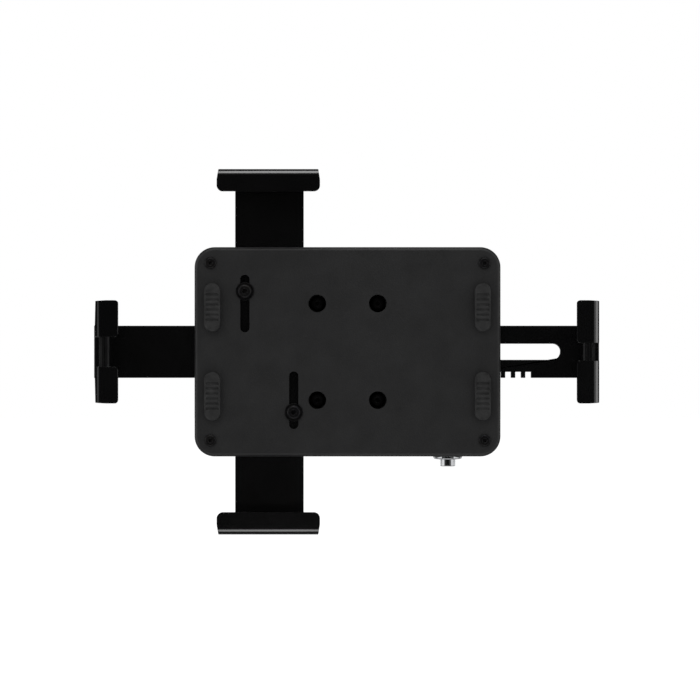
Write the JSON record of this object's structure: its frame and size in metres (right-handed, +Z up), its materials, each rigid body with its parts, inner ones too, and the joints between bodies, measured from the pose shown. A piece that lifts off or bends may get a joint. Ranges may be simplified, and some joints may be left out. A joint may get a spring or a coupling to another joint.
{
  "type": "tablet wall mount",
  "caption": "Steel wall mount that grips a tablet by its edges with hooked arms on a turning holder: one arm slides and locks, and the upper and lower arms close together.",
  "frame": {"origin": "point where the turning axis meets the wall plane, at the centre of the wall holes", "axes": "+Z up, +X to the right seen from the front, +Y into the wall; the tablet faces -Y"},
  "size_m": [0.251, 0.0431, 0.1808],
  "materials": {
    "arm_coat": "smooth satin powder coat, black",
    "cover_coat": "fine textured powder coat, black",
    "plate_coat": "fine textured powder coat, black",
    "zinc_steel": "bright zinc plate",
    "spring_steel": "oiled spring steel",
    "black_screws": "black oxide",
    "natural_nylon": "natural nylon",
    "black_nylon": "moulded black nylon",
    "silicone": "ribbed black silicone",
    "bumper_rubber": "matt black rubber",
    "lock_chrome": "bright chrome plate",
    "lock_casting": "painted zinc casting",
    "lock_core_steel": "turned nickel silver",
    "gear_steel": "sintered steel"
  },
  "bodies": {
    "wall_bracket": {"wall_plate": "plate_coat", "friction_washer": "natural_nylon", "pivot_bush": "natural_nylon"},
    "holder": {"steel_washer": "zinc_steel", "disc_spring": "spring_steel", "pivot_nut": "zinc_steel", "pivot_bolt": "zinc_steel", "swivel_plate": "zinc_steel", "holder_screws": "black_screws", "back_plate": "plate_coat", "arm_guide": "black_nylon", "front_cover": "cover_coat", "cover_screws": "black_screws", "left_arm": "arm_coat", "left_arm_screws": "black_screws", "left_liner": "silicone", "stop_pin": "zinc_steel", "pinion_axle": "zinc_steel", "lock_housing": "lock_casting", "lock_screws": "black_screws", "lock_barrel": "lock_chrome", "lock_spring": "spring_steel", "upper_left_bumper": "bumper_rubber", "upper_right_bumper": "bumper_rubber", "lower_left_bumper": "bumper_rubber", "lower_right_bumper": "bumper_rubber"},
    "right_arm": {"right_arm": "arm_coat", "right_liner": "silicone"},
    "top_arm": {"top_arm": "arm_coat", "top_liner": "silicone", "top_clamp_screw": "black_screws", "top_clamp_washer": "black_screws"},
    "bottom_arm": {"bottom_arm": "arm_coat", "bottom_liner": "silicone", "bottom_clamp_screw": "black_screws", "bottom_clamp_washer": "black_screws"},
    "pinion": {"pinion": "gear_steel"},
    "lock_plunger": {"lock_plunger": "lock_chrome"},
    "lock_core": {"lock_core": "lock_core_steel"}
  },
  "joints": [
    {"name": "holder_rotation", "type": "hinge", "parent": "wall_bracket", "child": "holder", "pos_m": [0, 0, 0], "axis": [0, -1, 0], "continuous": true},
    {"name": "right_arm_slide", "type": "slide", "parent": "holder", "child": "right_arm", "axis": [1, 0, 0], "range_m": [-0.04, 0.015]},
    {"name": "top_arm_slide", "type": "slide", "parent": "holder", "child": "top_arm", "axis": [0, 0, 1], "range_m": [-0.018, 0.006]},
    {"name": "bottom_arm_slide", "type": "slide", "parent": "holder", "child": "bottom_arm", "axis": [0, 0, -1], "range_m": [-0.018, 0.006]},
    {"name": "pinion_turn", "type": "hinge", "parent": "holder", "child": "pinion", "pos_m": [-0.0388, -0.025, 0], "axis": [0, 1, 0], "range_deg": [-172, 57.5]},
    {"name": "lock_push", "type": "slide", "parent": "holder", "child": "lock_plunger", "axis": [0, 0, 1], "range_m": [0, 0.0036], "stiffness_N_per_m": 400, "springref_m": -0.003, "deforming": ["lock_spring"]},
    {"name": "lock_core_turn", "type": "hinge", "parent": "lock_plunger", "child": "lock_core", "pos_m": [0.05, -0.0193, -0.05], "axis": [0, 0, 1], "range_deg": [0, 90]}
  ],
  "couplings": [
    {"joint": "bottom_arm_slide", "follows": "top_arm_slide", "ratio": 1},
    {"joint": "pinion_turn", "follows": "top_arm_slide", "rad_per_m": 166.67}
  ]
}
